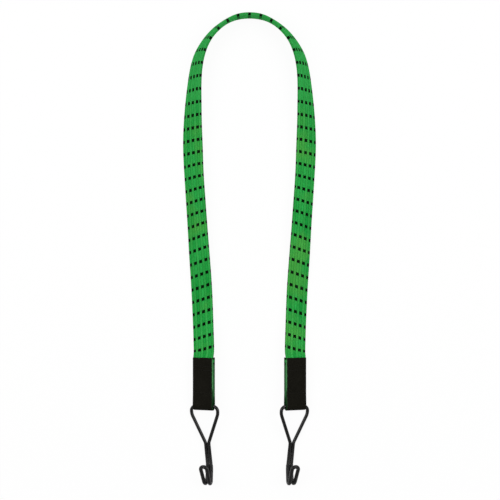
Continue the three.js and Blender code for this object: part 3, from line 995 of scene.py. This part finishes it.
def make_rubber():
    material, tree, shader = new_finish("cut rubber", Specular_IOR_Level=0.35)
    across, along, through = separated(tree, place_in_weave(tree))
    cut_along = maths(tree, "MULTIPLY", along, 0.2)
    cut_through = maths(tree, "MULTIPLY", through, 9.0)
    cut = noise(tree, combined(tree, cut_along, cut_through, across), 1.0)
    talc = placed_group(tree, handling_marks, Patch_Scale=90.0, Speck_Scale=2200.0)
    base = blended(tree, cut, colour(206, 192, 152), colour(222, 212, 180))
    base = tinted(tree, talc["Dust"], 0.6, base, colour(238, 236, 228))
    finished(tree, shader, base, ramp(tree, talc["Patch"], 0.3, 0.7, 0.55, 0.8), cut, depth=0.00005)
    return material


def make_black_tape():
    material, tree, shader = new_finish("black woven tape", Specular_IOR_Level=0.03)
    weave = place_in_weave(tree)
    off_middle = maths(tree, "ABSOLUTE", separated(tree, weave)[0])
    pale_from = (TAPE_HALF_WIDTH - TAPE_PALE_EDGE) * MILLIMETRES
    edge = ramp(tree, off_middle, pale_from, TAPE_HALF_WIDTH * MILLIMETRES)
    yarns = placed_group(tree, plain_weave, Place=weave, Warp_Pitch=0.55, Weft_Pitch=0.42)
    marks = placed_group(tree, handling_marks, Patch_Scale=60.0, Speck_Scale=1600.0)
    base = blended(tree, yarns["Fibre"], colour(13, 12, 8), colour(24, 23, 18))
    base = tinted(tree, yarns["Over"], 0.3, base, colour(29, 28, 22))
    base = tinted(tree, edge, 0.35, base, colour(42, 39, 34))
    base = tinted(tree, marks["Dust"], 0.15, base, colour(96, 92, 84))
    roughness = ramp(tree, yarns["Fibre"], 0.2, 0.8, 0.7, 0.92)
    height = maths(tree, "MULTIPLY_ADD", yarns["Fibre"], 0.3, yarns["Height"])
    finished(tree, shader, base, roughness, height, depth=0.00009)
    return material


def make_thread():
    material, tree, shader = new_finish("black sewing thread", Specular_IOR_Level=0.1)
    plies = {"Vector": place_on_object(tree), "Scale": 420.0, "Distortion": 1.5}
    twist = node(tree, "ShaderNodeTexWave", plies, bands_direction="DIAGONAL").outputs[1]
    marks = placed_group(tree, handling_marks, Patch_Scale=120.0, Speck_Scale=2500.0)
    base = blended(tree, twist, colour(12, 11, 8), colour(31, 29, 24))
    base = tinted(tree, marks["Dust"], 0.2, base, colour(110, 106, 98))
    finished(tree, shader, base, ramp(tree, twist, 0.0, 1.0, 0.6, 0.42), twist, depth=0.00006)
    return material


def make_black_wire():
    material, tree, shader = new_finish("black coated wire", Specular_IOR_Level=0.3)
    place = place_on_object(tree)
    dipped = share_of(tree, "dipped")
    marks = placed_group(tree, handling_marks, Patch_Scale=140.0, Speck_Scale=1900.0)
    scratches = ramp(tree, noise(tree, place, 800.0, 4.0), 0.42, 0.66)
    scuffed = maths(tree, "MULTIPLY", share_of(tree, "scuffed"), scratches)
    base = blended(tree, marks["Patch"], colour(5, 5, 4), colour(12, 12, 10))
    base = blended(tree, dipped, base, colour(4, 4, 4))
    base = tinted(tree, scuffed, 0.5, base, colour(58, 58, 56))
    base = tinted(tree, marks["Dust"], 0.12, base, colour(84, 82, 78))
    bare = ramp(tree, marks["Patch"], 0.3, 0.7, 0.2, 0.34)
    roughness = maths(tree, "MULTIPLY_ADD", dipped, 0.14, bare)
    peel = noise(tree, place, 1300.0, 3.0)
    finished(tree, shader, base, roughness, peel, depth=0.00004, strength=0.6)
    return material


for finish, pieces in [
    (make_green_weave(), (strap_left, strap_right)),
    (make_rubber(), (strands_left, strands_right)),
    (make_black_tape(), (tab_left, tab_right)),
    (make_thread(), (stitches_left, stitches_right)),
    (make_black_wire(), (hook_left, hook_right)),
]:
    for piece in pieces:
        piece.data.materials.clear()
        piece.data.materials.append(finish)


# White table and soft light

def seen_itself(tree):
    """One where a surface is seen, directly or in a reflection, and nought where it only sheds light."""
    path = node(tree, "ShaderNodeLightPath").outputs
    mirrored = maths(tree, "MAXIMUM", path["Is Glossy Ray"], path["Is Transmission Ray"])
    return maths(tree, "MAXIMUM", path["Is Camera Ray"], mirrored)


def make_table_white():
    """White that keeps the shadow of what lies on it."""
    material, tree, shader = new_finish(
        "white table", Base_Color=TABLE_COLOUR, Roughness=0.9, Specular_IOR_Level=0.1
    )
    glow = node(tree, "ShaderNodeEmission", {"Color": WHITE, "Strength": 1.0})
    glowing = maths(tree, "MULTIPLY", seen_itself(tree), TABLE_GLOW)
    lit = node(tree, "ShaderNodeMixShader", {0: glowing, 1: shader.outputs[0], 2: glow.outputs[0]})
    connect(tree, lit.outputs[0], tree.nodes["Material Output"].inputs["Surface"])
    return material


def soft_lamp(name, place, power):
    """A square lamp that shines at the middle of the table."""
    lamp = bpy.data.objects.new(name, bpy.data.lights.new(name, "AREA"))
    lamp.data.shape = "SQUARE"
    lamp.data.size = LAMP_SIZE
    lamp.data.energy = power
    lamp.location = place
    lamp.rotation_euler = Vector(place).to_track_quat("Z", "Y").to_euler()
    bpy.context.collection.objects.link(lamp)


def room_light():
    """Even light from all round, with a white backdrop near the horizon where it is seen."""
    world = bpy.data.worlds.new("even room light")
    world.use_nodes = True
    tree = world.node_tree
    background = tree.nodes["Background"].inputs
    background["Color"].default_value = WHITE
    height = separated(tree, node(tree, "ShaderNodeTexCoord").outputs["Generated"])[2]
    backdrop = ramp(tree, height, *BACKDROP_TOP, 1 - ROOM_LIGHT, 0.0)
    strength = maths(tree, "MULTIPLY_ADD", seen_itself(tree), backdrop, ROOM_LIGHT)
    connect(tree, strength, background["Strength"])
    return world


bpy.ops.object.select_all(action="DESELECT")
bpy.ops.mesh.primitive_plane_add(size=TABLE_SIZE)
table = bpy.context.object
table.name = "table"
table.data.materials.append(make_table_white())

soft_lamp("left lamp", (-0.9, 0.15, 1.1), SIDE_LAMP_POWER)
soft_lamp("right lamp", (0.9, 0.15, 1.1), SIDE_LAMP_POWER)
soft_lamp("back lamp", (0, 1.2, 1.0), BACK_LAMP_POWER)
bpy.context.scene.world = room_light()
bpy.context.scene.view_settings.view_transform = "Standard"
